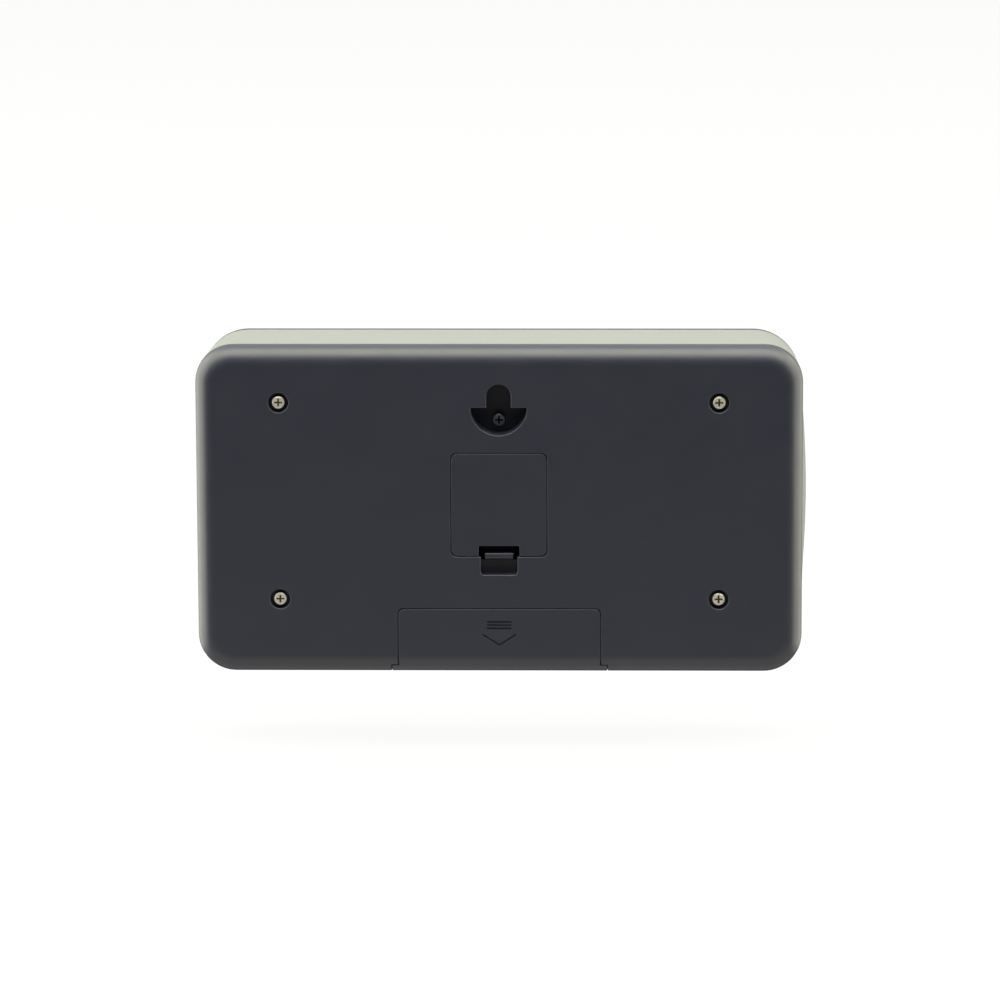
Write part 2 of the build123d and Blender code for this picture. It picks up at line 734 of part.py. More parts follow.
with BuildPart() as crystal:
    slab((60, 71), (62, 66.6), (board_near - 3.4, board_near), 2.2)
crystal.part.label = "crystal"
export_step(crystal.part, "parts/crystal.step")

with BuildPart() as capacitor:
    discs([(56, 45)], 3.15, (board_near - 3.9, board_near))
    fillet(capacitor.edges().filter_by(GeomType.CIRCLE).group_by(Axis.Y)[-1], 0.5)
capacitor.part.label = "capacitor"
export_step(capacitor.part, "parts/capacitor.step")

with BuildPart() as buzzer:
    discs([grille_place], buzzer_r, (board_far, board_far + buzzer_height))
    buzzer_top = board_far + buzzer_height
    discs([grille_place], 1.0, (buzzer_top - 1.5, buzzer_top + 1), mode=Mode.SUBTRACT)
buzzer.part.label = "buzzer"
export_step(buzzer.part, "parts/buzzer.step")

with BuildPart() as led_lenses:
    discs(led_places, led_r, (board_far, case_depth + 0.2))
    discs(led_places, led_r + 0.8, (front_wall_back - 1.2, front_wall_back - 0.1))
    fillet(led_lenses.edges().filter_by(GeomType.CIRCLE).group_by(Axis.Y)[0], 0.5)
led_lenses.part.label = "led_lenses"
export_step(led_lenses.part, "parts/led_lenses.step")

with BuildPart() as key_mat:
    slab((37.0, 87.0), (29.2, 85.3), (board_far, board_far + mat_thick), 2.0)
    slab((-67.2, 17.2), (12.5, 23.5), (board_far, board_far + mat_thick), 2.0)
    with BuildSketch(at_depth(board_far + mat_thick)):
        for place, key_width, key_height in key_sizes.values():
            with Locations(place):
                Circle(dome_r)
    extrude(amount=dome_top - board_far - mat_thick, taper=15)
key_mat.part.label = "key_mat"
export_step(key_mat.part, "parts/key_mat.step")

# ---------------------------------------------------------------- battery leads
def lead_wire(side):
    """Insulated wire from one contact's tab to the board."""
    start_depth = tab_depth[1]
    x_tab = side * (plate_x + 2.4)
    route = [
        (x_tab, rear_y - start_depth, aa_z),
        (x_tab, rear_y - start_depth - 3.0, aa_z),
        (x_tab + side * 1.5, rear_y - start_depth - 5.0, aa_z + 7.0),
        (x_tab + side * 3.0, rear_y - board_near + 3.0, aa_z + 14.0),
        (x_tab + side * 3.0, rear_y - board_near, aa_z + 14.0),
    ]
    with BuildPart() as wire:
        with BuildLine() as path:
            FilletPolyline(*route, radius=[1.4, 2.4, 1.3])
        with BuildSketch(Plane(origin=path.line @ 0, z_dir=path.line % 0)):
            Circle(0.6)
        sweep()
    return wire.part


battery_leads = Compound(label="battery_leads", children=[lead_wire(-1), lead_wire(1)])
export_step(battery_leads, "parts/battery_leads.step")


# ---------------------------------------------------------------- keys
def key_cap(place, key_width, key_height):
    """Key cap with a shallow dish in its face and a flange behind the front wall."""
    x, z = place
    face_x = (x - key_width / 2, x + key_width / 2)
    face_z = (z - key_height / 2, z + key_height / 2)
    face_depth = case_depth + key_proud
    dish_r = (key_width / 2 - dish_margin) ** 2 / (2 * dish_depth)
    with BuildPart() as cap:
        slab(face_x, face_z, (key_flange_near, face_depth), 1.0)
        fillet(cap.faces().sort_by(Axis.Y)[0].edges(), key_edge_r)
        flange_x = (face_x[0] - key_flange, face_x[1] + key_flange)
        flange_z = (face_z[0] - key_flange, face_z[1] + key_flange)
        slab(flange_x, flange_z, (key_flange_near, key_flange_far), 1.0)
        with BuildSketch(Plane.XY.offset(z - key_height)):
            with Locations((x, rear_y - face_depth - dish_r + dish_depth)):
                Circle(dish_r)
        extrude(amount=2 * key_height, mode=Mode.SUBTRACT)
    return cap.part


for name, (place, key_width, key_height) in key_sizes.items():
    cap = key_cap(place, key_width, key_height)
    cap.label = "key_" + name
    export_step(cap, "parts/key_" + name + ".step")
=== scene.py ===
import bpy
import math
from mathutils import Matrix, Vector


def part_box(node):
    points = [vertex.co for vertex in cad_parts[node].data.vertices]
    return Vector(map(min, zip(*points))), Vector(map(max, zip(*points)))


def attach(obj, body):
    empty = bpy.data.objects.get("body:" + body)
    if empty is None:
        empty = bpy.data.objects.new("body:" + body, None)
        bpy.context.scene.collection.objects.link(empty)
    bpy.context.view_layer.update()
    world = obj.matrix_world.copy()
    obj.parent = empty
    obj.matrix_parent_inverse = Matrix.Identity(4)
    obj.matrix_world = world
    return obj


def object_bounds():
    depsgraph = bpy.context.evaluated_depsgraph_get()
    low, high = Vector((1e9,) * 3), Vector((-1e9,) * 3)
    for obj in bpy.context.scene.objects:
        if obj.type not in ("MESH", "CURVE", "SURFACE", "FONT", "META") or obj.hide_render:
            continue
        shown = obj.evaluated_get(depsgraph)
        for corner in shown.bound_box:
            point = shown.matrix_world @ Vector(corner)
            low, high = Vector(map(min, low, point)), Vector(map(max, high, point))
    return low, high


# Looks of a slim punch time clock: moulded plastics, nickel screws, a display with its digits and
# signs, a keypad with its legends, and a bright studio. All lengths are in metres, in the frame of
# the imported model: +Z is up, the fascia faces -Y and the back faces +Y.

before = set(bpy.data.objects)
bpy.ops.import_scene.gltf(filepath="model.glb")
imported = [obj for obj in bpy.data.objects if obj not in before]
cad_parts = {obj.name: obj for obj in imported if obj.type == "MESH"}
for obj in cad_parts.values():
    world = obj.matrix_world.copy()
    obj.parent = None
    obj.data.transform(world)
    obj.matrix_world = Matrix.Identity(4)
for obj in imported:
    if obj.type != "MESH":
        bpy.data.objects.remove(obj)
cad_low, cad_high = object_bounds()

MM = 0.001
REAR_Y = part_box("rear_cover")[1].y


# ---------------------------------------------------------------- shader sockets
# Number of the Object output on a Texture Coordinate node.
OBJECT_OUTPUT = 3


class Wire:
    """An output socket of a material, used in plain arithmetic."""

    def __init__(self, paint, socket):
        self.paint = paint
        self.socket = socket

    def math(self, operation, *others):
        values = dict(enumerate((self, *others)))
        return self.paint.node("ShaderNodeMath", {"operation": operation}, values)

    def __add__(self, other):
        return self.math("ADD", other)

    def __sub__(self, other):
        return self.math("SUBTRACT", other)

    def __rsub__(self, other):
        return (self * -1.0) + other

    def __mul__(self, other):
        return self.math("MULTIPLY", other)

    def __gt__(self, other):
        return self.math("GREATER_THAN", other)

    def __lt__(self, other):
        return self.math("LESS_THAN", other)

    __radd__ = __add__
    __rmul__ = __mul__


class Paint:
    """A material under construction."""

    def __init__(self, name):
        self.material = bpy.data.materials.new(name)
        self.material.use_nodes = True
        self.tree = self.material.node_tree
        self.tree.nodes.clear()

    def node(self, kind, settings=None, sockets=None, output=0):
        """Adds a node: its settings first, then the values or wires of its sockets."""
        made = self.tree.nodes.new(kind)
        for key, value in (settings or {}).items():
            setattr(made, key, value)
        for key, value in (sockets or {}).items():
            if isinstance(value, Wire):
                self.tree.links.new(value.socket, made.inputs[key])
            else:
                made.inputs[key].default_value = value
        return Wire(self, made.outputs[output]) if made.outputs else None

    def place(self):
        """The point's Object coordinates."""
        return self.node("ShaderNodeTexCoord", output=OBJECT_OUTPUT)

    def axes(self):
        """The point's X, Y and Z."""
        split = self.node("ShaderNodeSeparateXYZ", None, {0: self.place()}).socket.node
        return [Wire(self, output) for output in split.outputs]

    def stretched(self, scale):
        """The point's place with each axis scaled on its own."""
        return self.node("ShaderNodeMapping", None, {"Vector": self.place(), "Scale": scale})

    def noise(self, scale, detail=2.0, roughness=0.5, where=None):
        sockets = {"Vector": where or self.place(), "Scale": scale}
        sockets.update({"Detail": detail, "Roughness": roughness})
        return self.node("ShaderNodeTexNoise", None, sockets)

    def spread(self, value, low, high, out_low=0.0, out_high=1.0):
        """Maps a stretch of a value onto another, with both ends held."""
        sockets = {0: value, 1: low, 2: high, 3: out_low, 4: out_high}
        return self.node("ShaderNodeMapRange", {"clamp": True}, sockets)

    def mix(self, share, first, second):
        """Colour from first to second."""
        first, second = (c if isinstance(c, Wire) else (*c, 1.0) for c in (first, second))
        sockets = {0: share, 6: first, 7: second}
        return self.node("ShaderNodeMix", {"data_type": "RGBA"}, sockets, output=2)

    def tinted(self, colour, share, strength=0.5):
        """A colour that gets lighter and darker with a value round one half."""
        dark = tuple(c * (1 - strength) for c in colour)
        light = tuple(c * (1 + strength) for c in colour)
        return self.mix(share, dark, light)

    def bump(self, height, depth, strength=1.0, normal=None):
        sockets = {"Height": height, "Distance": depth, "Strength": strength}
        if normal is not None:
            sockets["Normal"] = normal
        return self.node("ShaderNodeBump", None, sockets)

    def finish(self, colour, roughness, normal=None, **constants):
        """Ends in a Principled shader and returns the material."""
        sockets = {"Base Color": colour, "Roughness": roughness}
        if normal is not None:
            sockets["Normal"] = normal
        for key, value in constants.items():
            sockets[key.replace("_", " ")] = value
        self.end(self.node("ShaderNodeBsdfPrincipled", None, sockets))
        return self.material

    def end(self, shader):
        self.node("ShaderNodeOutputMaterial", None, {"Surface": shader})
        return self.material


# ---------------------------------------------------------------- materials
# Streaks per metre along X, Y and Z that turning leaves on a screw.
TURNED = (900, 300, 2400)


def moulded_plastic(name, colour, roughness, grain_depth, shade=0.10, specular=0.5):
    """Injection-moulded plastic: spark-eroded grain, faint clouding and a little dust."""
    paint = Paint(name)
    grain = paint.noise(5200, 3.0, 0.62)
    clouds = paint.noise(38, 3.0, 0.55)
    smudges = paint.noise(120, 4.0, 0.6)
    dust = paint.spread(paint.noise(900, 4.0, 0.7), 0.66, 0.80)
    base = paint.tinted(colour, clouds * 0.7 + grain * 0.3, shade)
    dusty = paint.mix(dust * 0.05, base, (0.42, 0.42, 0.40))
    gloss = roughness + (smudges - 0.5) * 0.14 + (grain - 0.5) * 0.08
    normal = paint.bump(grain, grain_depth, 0.6)
    return paint.finish(dusty, gloss, normal, Specular_IOR_Level=specular)


def coated_metal(name, colour, roughness, streak_scale, depth=0.006 * MM):
    """Plated metal with fine turning marks and a few dull spots."""
    paint = Paint(name)
    streaks = paint.noise(1.0, 3.0, 0.6, paint.stretched(streak_scale))
    spots = paint.spread(paint.noise(1500, 3.0, 0.6), 0.55, 0.75)
    dull = tuple(c * 0.55 for c in colour)
    base = paint.mix(spots * 0.35, paint.tinted(colour, streaks, 0.12), dull)
    gloss = roughness + (streaks - 0.5) * 0.20 + spots * 0.12
    normal = paint.bump(streaks, depth, 0.5)
    return paint.finish(base, gloss, normal, Metallic=1.0)


def screw_head(name, node_name, colour, roughness, recess_shade_colour):
    """Plated screw, with painted shade darkening its cross recess below the top of its head."""
    paint = Paint(name)
    y = paint.axes()[1]
    top_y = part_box(node_name)[1].y
    # Painted shade: below the top of the head, in the cross recess, the colour darkens towards the
    # shade colour.
    recess_shade_mask = paint.spread(y, top_y - 0.75 * MM, top_y - 0.45 * MM, 1.0, 0.0)
    streaks = paint.noise(1.0, 3.0, 0.6, paint.stretched(TURNED))
    clean = paint.tinted(colour, streaks, 0.14)
    base = paint.mix(recess_shade_mask * 0.9, clean, recess_shade_colour)
    gloss = roughness + (streaks - 0.5) * 0.20 + recess_shade_mask * 0.15
    return paint.finish(base, gloss, paint.bump(streaks, 0.008 * MM, 0.5), Metallic=1.0)


def clear_lens():
    """Clear acrylic: you look through it, and it mirrors more at a glancing angle."""
    paint = Paint("clear_acrylic")
    wipes = paint.noise(1.0, 3.0, 0.5, paint.stretched((60, 60, 420)))
    facing = paint.node("ShaderNodeLayerWeight", None, {"Blend": 0.5}, output=1)
    mirror = facing.math("POWER", 5.0) * 0.80 + 0.02
    shine = paint.node("ShaderNodeBsdfGlossy", None, {"Roughness": 0.06 + wipes * 0.05})
    through = paint.node("ShaderNodeBsdfTransparent", None, {"Color": (0.93, 0.95, 0.95, 1.0)})
    return paint.end(paint.node("ShaderNodeMixShader", None, {0: mirror, 1: through, 2: shine}))


def display_glass():
    """Reflective display: grey-green polariser over glass, faintly uneven."""
    paint = Paint("display_glass")
    clouds = paint.noise(26, 2.0, 0.5)
    speckle = paint.noise(7000, 2.0, 0.6)
    base = paint.tinted((0.360, 0.400, 0.335), clouds * 0.5 + speckle * 0.5, 0.16)
    return paint.finish(base, 0.30 + clouds * 0.12, paint.bump(speckle, 0.004 * MM, 0.4))


def segment_ink(name, colour, alpha):
    """Liquid-crystal segment, dark or almost clear."""
    paint = Paint(name)
    speckle = paint.noise(5000, 2.0, 0.6)
    return paint.finish(paint.tinted(colour, speckle, 0.25), 0.35 + speckle * 0.1, Alpha=alpha)


def printed_ink(name, colour):
    """Screen-printed ink with a slightly broken edge of gloss."""
    paint = Paint(name)
    pores = paint.noise(4200, 3.0, 0.65)
    base = paint.tinted(colour, pores, 0.14)
    return paint.finish(base, 0.48 + pores * 0.14, paint.bump(pores, 0.004 * MM, 0.5))


def soft_rubber(name, colour):
    """Matt silicone with fine talc on it."""
    paint = Paint(name)
    pores = paint.noise(2600, 4.0, 0.65)
    clouds = paint.noise(90, 2.0, 0.5)
    base = paint.tinted(colour, pores * 0.5 + clouds * 0.5, 0.12)
    return paint.finish(base, 0.72 + pores * 0.12, paint.bump(pores, 0.01 * MM, 0.5))


def circuit_board():
    """Green solder mask over copper tracks, with a weave showing through."""
    paint = Paint("circuit_board")
    x, _, z = paint.axes()
    lanes = (x * 620.0).math("FRACT") > 0.62
    rungs = (z * 540.0).math("FRACT") > 0.66
    choose = paint.noise(95, 0.0, 0.0) > 0.52
    tracks = lanes * choose + rungs * (1 - choose)
    weave = paint.noise(3200, 2.0, 0.5)
    base = paint.mix(tracks, paint.tinted((0.012, 0.115, 0.050), weave, 0.2), (0.035, 0.200, 0.085))
    return paint.finish(base, 0.26 + weave * 0.1, paint.bump(tracks, 0.03 * MM, 0.5))


def cell_jacket():
    """Shrink jacket of the cell: dark body, copper-coloured band at the positive end."""
    paint = Paint("cell_jacket")
    x = paint.axes()[0]
    low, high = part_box("aa_cell")
    band = x > high.x - 15.0 * MM
    nub = x > high.x - 1.4 * MM
    can_end = x < low.x + 0.7 * MM
    steel = nub.math("MAXIMUM", can_end)
    scuffs = paint.noise(1.0, 4.0, 0.65, paint.stretched((140, 900, 900)))
    jacket = paint.mix(band, (0.022, 0.034, 0.040), (0.46, 0.19, 0.07))
    base = paint.mix(steel, jacket, (0.62, 0.61, 0.58))
    gloss = 0.24 + scuffs * 0.16
    return paint.finish(base, gloss, paint.bump(scuffs, 0.01 * MM, 0.4), Metallic=steel * 0.9 + 0.05)


def light_pipe():
    """Two tinted lenses: seen from the front, green on the left and red on the right."""
    paint = Paint("light_pipe")
    x = paint.axes()[0]
    low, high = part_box("led_lenses")
    right = x > (low.x + high.x) / 2
    haze = paint.noise(1400, 2.0, 0.5)
    base = paint.mix(right, (0.03, 0.42, 0.10), (0.50, 0.03, 0.02))
    tinted = paint.mix(haze * 0.25, base, (0.8, 0.8, 0.8))
    return paint.finish(tinted, 0.14 + haze * 0.12, Coat_Weight=0.5, Coat_Roughness=0.05)


def wire_jacket():
    """Two insulated wires, red to the positive end and black to the other."""
    paint = Paint("wire_jacket")
    x = paint.axes()[0]
    wear = paint.noise(2200, 3.0, 0.6)
    base = paint.mix(x > 0.0, (0.012, 0.012, 0.014), (0.42, 0.02, 0.015))
    shaded = paint.mix(wear * 0.2, base, (0.2, 0.2, 0.2))
    return paint.finish(shaded, 0.36 + wear * 0.14, paint.bump(wear, 0.01 * MM, 0.5))


def layered_rubber():
    """Elastomer connector: pale rubber with fine dark conducting layers across it."""
    paint = Paint("layered_rubber")
    x = paint.axes()[0]
    layers = (x * 9000.0).math("SINE") * 0.5 + 0.5
    base = paint.mix(layers, (0.62, 0.33, 0.36), (0.05, 0.045, 0.05))
    return paint.finish(base, 0.62 + layers * 0.1, paint.bump(layers, 0.005 * MM, 0.5))


DARK_CASE = (0.0262, 0.0300, 0.0515)
PALE_CASE = (0.224, 0.239, 0.244)
dark_case = moulded_plastic("dark_case_plastic", DARK_CASE, 0.42, 0.020 * MM, 0.10, 0.80)
pale_case = moulded_plastic("pale_case_plastic", PALE_CASE, 0.60, 0.014 * MM, 0.05, 0.30)
dark_front = moulded_plastic(
    "dark_front_plastic", (0.012, 0.013, 0.018), 0.46, 0.008 * MM, 0.10, 0.30
)
number_key = moulded_plastic("number_key_plastic", (0.55, 0.57, 0.55), 0.42, 0.010 * MM, 0.05)
in_key = moulded_plastic("in_key_plastic", (0.030, 0.220, 0.085), 0.40, 0.010 * MM)
out_key = moulded_plastic("out_key_plastic", (0.360, 0.035, 0.025), 0.40, 0.010 * MM)
plain_key = moulded_plastic("plain_key_plastic", (0.085, 0.095, 0.120), 0.42, 0.010 * MM)
holder_plastic = moulded_plastic("holder_plastic", (0.62, 0.62, 0.60), 0.50, 0.010 * MM, 0.05)
chip_black = moulded_plastic("chip_black", (0.018, 0.018, 0.020), 0.55, 0.030 * MM)
nickel = coated_metal("nickel_plate", (0.98, 0.93, 0.82), 0.60, TURNED)
# The last colour of each screw is the painted shade laid into its cross recess.
case_screw_nickel = screw_head(
    "case_screw_nickel", "case_screws", (1.0, 0.95, 0.84), 0.54, (0.10, 0.08, 0.06)
)
pocket_screw_zinc = screw_head(
    "pocket_screw_zinc", "pocket_screw", (0.30, 0.30, 0.34), 0.56, (0.02, 0.02, 0.03)
)
spring_strip = coated_metal("spring_strip", (0.70, 0.69, 0.66), 0.24, (300, 300, 3000))
bright_can = coated_metal("bright_can", (0.72, 0.71, 0.69), 0.26, (1400, 300, 220), 0.0008 * MM)
silicone = soft_rubber("silicone_mat", (0.46, 0.48, 0.49))
dark_ink = printed_ink("dark_ink", (0.020, 0.020, 0.024))
pale_ink = printed_ink("pale_ink", (0.72, 0.74, 0.72))
lit_segment = segment_ink("dark_segment", (0.010, 0.012, 0.014), 0.92)
ghost_segment = segment_ink("clear_segment", (0.10, 0.11, 0.10), 0.06)

FINISHES = {
    "rear_cover": dark_case,
    "battery_door": dark_case,
    "hatch": dark_case,
    "hatch_latch": dark_case,
    "front_housing": pale_case,
    "fascia": dark_front,
    "display_window": clear_lens(),
    "lcd_panel": display_glass(),
    "lcd_holder": holder_plastic,
    "zebra_strips": layered_rubber(),
    "main_board": circuit_board(),
    "processor": chip_black,
    "crystal": bright_can,
    "capacitor": bright_can,
    "buzzer": chip_black,
    "led_lenses": light_pipe(),
    "key_mat": silicone,
    "case_screws": case_screw_nickel,
    "pocket_screw": pocket_screw_zinc,
    "board_screws": nickel,
    "aa_cell": cell_jacket(),
    "aa_contact": spring_strip,
    "aa_spring": spring_strip,
    "battery_leads": wire_jacket(),
    "coin_cell": bright_can,
    "coin_contacts": spring_strip,
    "key_in": in_key,
    "key_out": out_key,
    "key_back": plain_key,
    "key_menu": plain_key,
}
for node_name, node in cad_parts.items():
    node.data.materials.clear()
    node.data.materials.append(FINISHES.get(node_name, number_key))


# ---------------------------------------------------------------- modelling helpers
# Size of a text object over the height of its numerals.
SIZE_PER_HEIGHT = 1.37


def start_clean():
    """Leaves object mode with nothing selected."""
    if bpy.context.object is not None and bpy.context.object.mode != "OBJECT":
        bpy.ops.object.mode_set(mode="OBJECT")
    bpy.ops.object.select_all(action="DESELECT")


def settle(piece, name, material, body):
    """Gives a finished piece its name, material and body, with its place in its mesh."""
    start_clean()
    piece.select_set(True)
    bpy.context.view_layer.objects.active = piece
    bpy.ops.object.transform_apply(location=True, rotation=True, scale=True)
    piece.name = name
    piece.data.name = name
    piece.data.materials.clear()
    piece.data.materials.append(material)
    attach(piece, body)
    return piece


def join(pieces):
    """One object from several."""
    if len(pieces) == 1:
        return pieces[0]
    start_clean()
    for piece in pieces:
        piece.select_set(True)
    bpy.context.view_layer.objects.active = pieces[0]
    bpy.ops.object.join()
    return pieces[0]


def bar(centre, size, point=0.0):
    """Flat bar that faces -Y; point cuts both ends of its length to a tip of that reach."""
    start_clean()
    bpy.ops.mesh.primitive_cube_add(size=1.0, location=centre)
    made = bpy.context.object
    made.scale = size
    bpy.ops.object.transform_apply(location=True, rotation=False, scale=True)
    if point > 0:
        bpy.ops.object.mode_set(mode="EDIT")
        bpy.ops.mesh.select_mode(type="EDGE")
        bpy.ops.mesh.select_all(action="DESELECT")
        bpy.ops.object.mode_set(mode="OBJECT")
        for edge in made.data.edges:
            ends = [made.data.vertices[i].co for i in edge.vertices]
            edge.select = abs(ends[0].y - ends[1].y) > size[1] / 2
        bpy.ops.object.mode_set(mode="EDIT")
        bpy.ops.mesh.bevel(offset=point, offset_type="OFFSET", segments=1, affect="EDGES")
        bpy.ops.mesh.remove_doubles(threshold=0.001 * MM)
        bpy.ops.object.mode_set(mode="OBJECT")
    return made


def lettering(text, centre, height, thickness):
    """Text as a thin mesh that faces -Y, centred on a point."""
    start_clean()
    bpy.ops.object.text_add()
    made = bpy.context.object
    made.data.body = text
    made.data.size = height * SIZE_PER_HEIGHT
    made.data.extrude = thickness / 2
    made.data.resolution_u = 6
    bpy.ops.object.convert(target="MESH")
    made = bpy.context.object
    xs = [v.co.x for v in made.data.vertices]
    ys = [v.co.y for v in made.data.vertices]
    middle = Vector(((min(xs) + max(xs)) / 2, (min(ys) + max(ys)) / 2, 0))
    upright = Matrix.Rotation(math.radians(90), 4, "X")
    made.data.transform(Matrix.Translation(centre) @ upright @ Matrix.Translation(-middle))
    return made


def turned(piece, centre, degrees):
    """Turns a piece in its own mesh about Y through a point."""
    spin = Matrix.Rotation(math.radians(degrees), 4, "Y")
    piece.data.transform(Matrix.Translation(centre) @ spin @ Matrix.Translation(-Vector(centre)))
    return piece


# ---------------------------------------------------------------- display digits
LCD_FACE_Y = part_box("lcd_panel")[0].y - 0.01 * MM
INK = 0.06 * MM
# Reach of a segment's tip over its stroke: just under half, so that the tip keeps a blunt end.
TIP = 0.499
# Width of a digit and the step to the next one, over its height.
DIGIT_WIDTH, DIGIT_STEP = 0.54, 0.70
# Room that a colon takes, over its stroke.
COLON_STEP = 3.2
DIGIT_SEGMENTS = {
    "0": "abcdef", "1": "bc", "2": "abdeg", "3": "abcdg", "4": "bcfg",
    "5": "acdfg", "6": "acdefg", "7": "abc", "8": "abcdefg", "9": "abcdfg",
}


def segment(letter, centre, width, height, stroke):
    """One of a digit's seven bars, named a to g clockwise from the top, g in the middle."""
    half_w, half_h = width / 2 - stroke / 2, height / 2 - stroke / 2
    rest = 0.35 * stroke
    level = {"a": half_h, "g": 0.0, "d": -half_h}
    if letter in level:
        middle = Vector(centre) + Vector((0, 0, level[letter]))
        size = (width - stroke - rest, INK, stroke)
        return bar(middle, size, stroke * TIP)
    side = 1 if letter in "bc" else -1
    up = 1 if letter in "bf" else -1
    middle = Vector(centre) + Vector((side * half_w, 0, up * half_h / 2))
    return bar(middle, (stroke, INK, half_h - rest), stroke * TIP)


def digits(text, left, bottom, height, stroke, lit):
    """A row of seven-bar digits; a colon is two square dots."""
    made = []
    x = left
    for sign in text:
        if sign == ":":
            for share in (0.3, 0.7):
                spot = (x + stroke, LCD_FACE_Y - INK / 2, bottom + share * height)
                if lit:
                    made.append(bar(spot, (stroke * 1.2, INK, stroke * 1.2), stroke * 0.25))
            x += stroke * COLON_STEP
            continue
        centre = (x + height * DIGIT_WIDTH / 2, LCD_FACE_Y - INK / 2, bottom + height / 2)
        for letter in "abcdefg":
            if (letter in DIGIT_SEGMENTS.get(sign, "")) == lit:
                made.append(segment(letter, centre, height * DIGIT_WIDTH, height, stroke))
        x += height * DIGIT_STEP
    return made


view_low, view_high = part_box("lcd_panel")
VIEW_MID_Z = (view_low.z + view_high.z) / 2
# Text, left edge, bottom edge above the middle of the view, height and stroke, in millimetres:
# the time, its seconds, a person's number and the date.
DISPLAY_ROWS = (
    ("10:27", 8.0, -14.0, 23.0, 2.5),
    ("36", 79.0, -14.0, 12.0, 1.4),
    ("0418", 79.0, 3.0, 8.0, 0.95),
    ("18:11", 8.0, 11.5, 6.0, 0.75),
)
for lit, name, ink in (
    (True, "display_digits", lit_segment),
    (False, "display_ghosts", ghost_segment),
):
    rows = []
    for text, left, bottom, height, stroke in DISPLAY_ROWS:
        corner = (view_low.x + left * MM, VIEW_MID_Z + bottom * MM)
        rows += digits(text, *corner, height * MM, stroke * MM, lit)
    settle(join(rows), name, ink, "case")


def display_icons():
    """Small fixed signs of the display: a battery and a row of seven day ticks."""
    y = LCD_FACE_Y - INK / 2
    z = VIEW_MID_Z + 14.5 * MM
    x = view_low.x + 62 * MM
    half_long, half_tall, line = 4 * MM, 2 * MM, 0.5 * MM
    made = []
    for up in (1, -1):
        made.append(bar((x, y, z + up * half_tall), (2 * half_long, INK, line)))
    for side in (-1, 1):
        made.append(bar((x + side * half_long, y, z), (line, INK, 2 * half_tall + line)))
    made.append(bar((x + half_long + 0.8 * MM, y, z), (0.9 * MM, INK, 1.8 * MM)))
    for level in range(3):
        place = (x - 2.4 * MM + level * 2.3 * MM, y, z)
        made.append(bar(place, (1.6 * MM, INK, 2.6 * MM)))
    for day in range(7):
        place = (view_low.x + (33 + 3.2 * day) * MM, y, z)
        made.append(bar(place, (2.2 * MM, INK, 0.9 * MM), 0.2 * MM))
    return made


settle(join(display_icons()), "display_icons", lit_segment, "case")


# ---------------------------------------------------------------- printed border of the display
def window_border():
    """Black border printed behind the lens: a sheet with its middle removed."""
    low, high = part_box("display_window")
    wide, tall, border = 108.6 * MM, 43.6 * MM, 3.4 * MM
    centre = ((low.x + high.x) / 2, high.y + 0.05 * MM, (low.z + high.z) / 2)
    start_clean()
    bpy.ops.mesh.primitive_plane_add(size=1.0, location=centre, rotation=(math.radians(90), 0, 0))
    made = bpy.context.object
    made.scale = (wide, tall, 1)
    bpy.ops.object.transform_apply(location=False, rotation=True, scale=True)
    bpy.ops.object.mode_set(mode="EDIT")
    bpy.ops.mesh.select_mode(type="FACE")
    bpy.ops.mesh.select_all(action="SELECT")
    bpy.ops.mesh.inset(thickness=border, depth=0)
    bpy.ops.mesh.delete(type="FACE")
    bpy.ops.object.mode_set(mode="OBJECT")
    thicken = made.modifiers.new("thickness", "SOLIDIFY")
    thicken.thickness = 0.05 * MM
    thicken.offset = 0
    bpy.ops.object.modifier_apply(modifier=thicken.name)
    return made


settle(window_border(), "window_border", dark_ink, "case")

# ---------------------------------------------------------------- legends on the keys
# Thickness of a legend, and how far each of its marks stands above the one before.
LEGEND = 0.06 * MM
LAYER = 0.004 * MM
# Depth of the dish in a key's face, and the flat margin on each side of it.
DISH = 0.35 * MM
DISH_MARGIN = 1.4 * MM
# A key's flange, under the fascia, stands out past its face by this much on each side.
KEY_FLANGE = 1.0 * MM
# Width of the bars of the function keys' signs.
STROKE = 0.75 * MM
# Cuts in each edge of a mark made of bars, so that it can bend with the dish; numerals need none.
BAR_CUTS = 5


def key_face(name):
    """Middle of a legend on a key: half its thickness above the deepest line of the dish."""
    low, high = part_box("key_" + name)
    return Vector(((low.x + high.x) / 2, low.y + DISH - LEGEND / 2, (low.z + high.z) / 2))


def print_on_key(marks, name, ink, cuts):
    """Joins the marks of a key, each a hair above the last, and lays them on its dished face."""
    for level, mark in enumerate(marks):
        mark.data.transform(Matrix.Translation((0, -level * LAYER, 0)))
    legend = join(marks)
    if cuts:
        bpy.ops.object.mode_set(mode="EDIT")
        bpy.ops.mesh.select_all(action="SELECT")
        bpy.ops.mesh.subdivide(number_cuts=cuts)
        bpy.ops.object.mode_set(mode="OBJECT")
    low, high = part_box("key_" + name)
    face_low, face_high = low.x + KEY_FLANGE, high.x - KEY_FLANGE
    middle = (face_low + face_high) / 2
    reach = (face_high - face_low) / 2 - DISH_MARGIN
    for point in legend.data.vertices:
        point.co.y -= DISH * ((point.co.x - middle) / reach) ** 2
    return settle(legend, "legend_" + name, ink, "key_" + name)


def arrow(centre, length, stroke, side):
    """Arrow that points along X to one side: a shaft and a head of two slanted bars."""
    centre = Vector(centre)
    tip = centre + Vector((side * length / 2, 0, 0))
    reach = length * 0.46
    shaft = centre - Vector((side * stroke * 0.4, 0, 0))
    made = [bar(shaft, (length - stroke * 0.8, LEGEND, stroke))]
    for up in (-1, 1):
        middle = tip - Vector((side, 0, -up)) * (reach * 0.5 * math.sqrt(0.5))
        made.append(turned(bar(middle, (reach, LEGEND, stroke)), middle, 45 * side * up))
    return made


